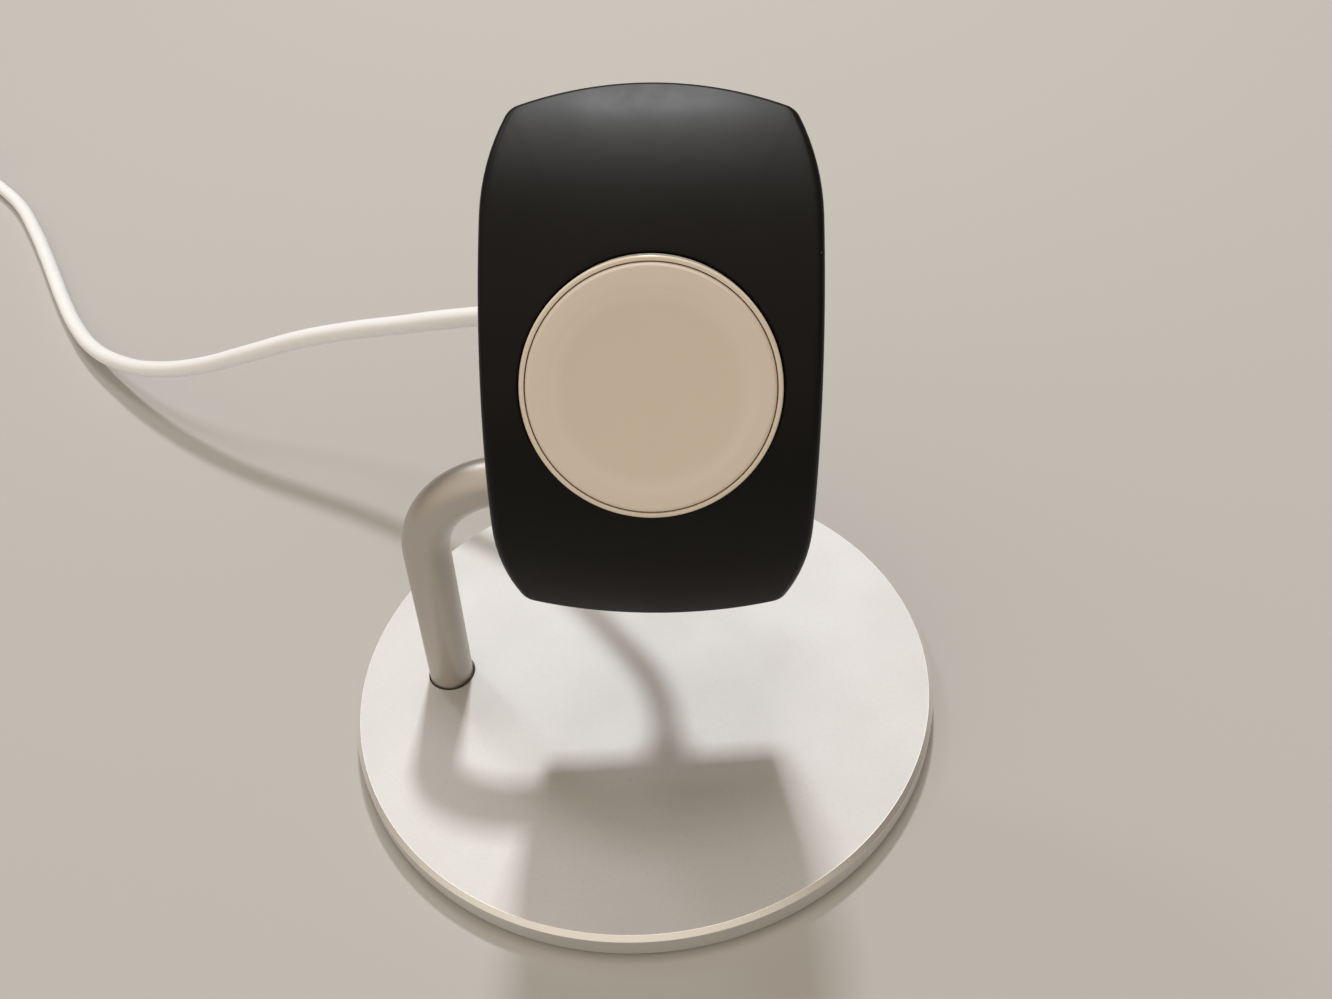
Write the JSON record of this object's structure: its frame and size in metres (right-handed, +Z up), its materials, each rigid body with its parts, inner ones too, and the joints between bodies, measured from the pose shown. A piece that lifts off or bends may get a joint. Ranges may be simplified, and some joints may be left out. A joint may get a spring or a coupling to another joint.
{
  "type": "watch charging stand",
  "caption": "Charging stand for a smartwatch: a round metal base, a bent tube arm and a curved head holding a magnetic charging puck with its lead.",
  "frame": {"origin": "middle of the round base, on the surface that the stand rests on", "axes": "+Z up, -Y the way the head faces, +X from the arm's foot towards the head"},
  "size_m": [0.2877, 0.2474, 0.084],
  "materials": {
    "base_aluminium": "satin, bead-blasted",
    "arm_aluminium": "satin, anodised",
    "ballast_steel": "plain rolled",
    "pad_rubber": "matte",
    "fastener_steel": "plain",
    "insert_brass": "plain",
    "head_soft_touch": "soft-touch satin",
    "bracket_aluminium": "cast, matte",
    "seat_plastic": "moulded",
    "charger_white": "polished",
    "charger_cap_white": "smooth, slightly glossy",
    "magnet_plated": "nickel-plated",
    "coil_copper": "enamelled wire",
    "shield_ferrite": "sintered",
    "board_green": "solder mask",
    "lead_white": "smooth elastomer",
    "plug_white": "moulded",
    "plug_metal": "drawn, plated",
    "contact_gold": "plated"
  },
  "bodies": {
    "stand": {"base_plate": "base_aluminium", "ballast_plate": "ballast_steel", "foot_pad": "pad_rubber", "foot_screw": "fastener_steel", "foot_bush": "pad_rubber", "foot_insert": "insert_brass", "arm_tube": "arm_aluminium", "tip_plug": "fastener_steel", "arm_collar": "pad_rubber", "head_shell": "head_soft_touch", "back_cover": "head_soft_touch", "cover_screws": "fastener_steel", "head_bracket": "bracket_aluminium", "bracket_screws": "fastener_steel", "clamp_screws": "fastener_steel", "charger_seat": "seat_plastic", "grip_ring": "pad_rubber", "cable_grommet": "pad_rubber", "cord_run": "lead_white", "cord_coil": "lead_white", "coil_tie": "pad_rubber", "cord_tail": "lead_white", "plug_boot": "lead_white", "plug_body": "plug_white", "plug_shell": "plug_metal", "plug_tongue": "plug_white", "plug_contacts": "contact_gold"},
    "charger": {"charger_case": "charger_white", "charger_cap": "charger_cap_white", "charger_magnet": "magnet_plated", "charger_coil": "coil_copper", "charger_shield": "shield_ferrite", "charger_board": "board_green", "charger_boot": "lead_white", "charger_lead": "lead_white"}
  },
  "joints": [
    {"name": "charger_release", "type": "slide", "parent": "stand", "child": "charger", "axis": [0.0229, -0.8988, 0.4378], "range_m": [0, 0.009]}
  ]
}
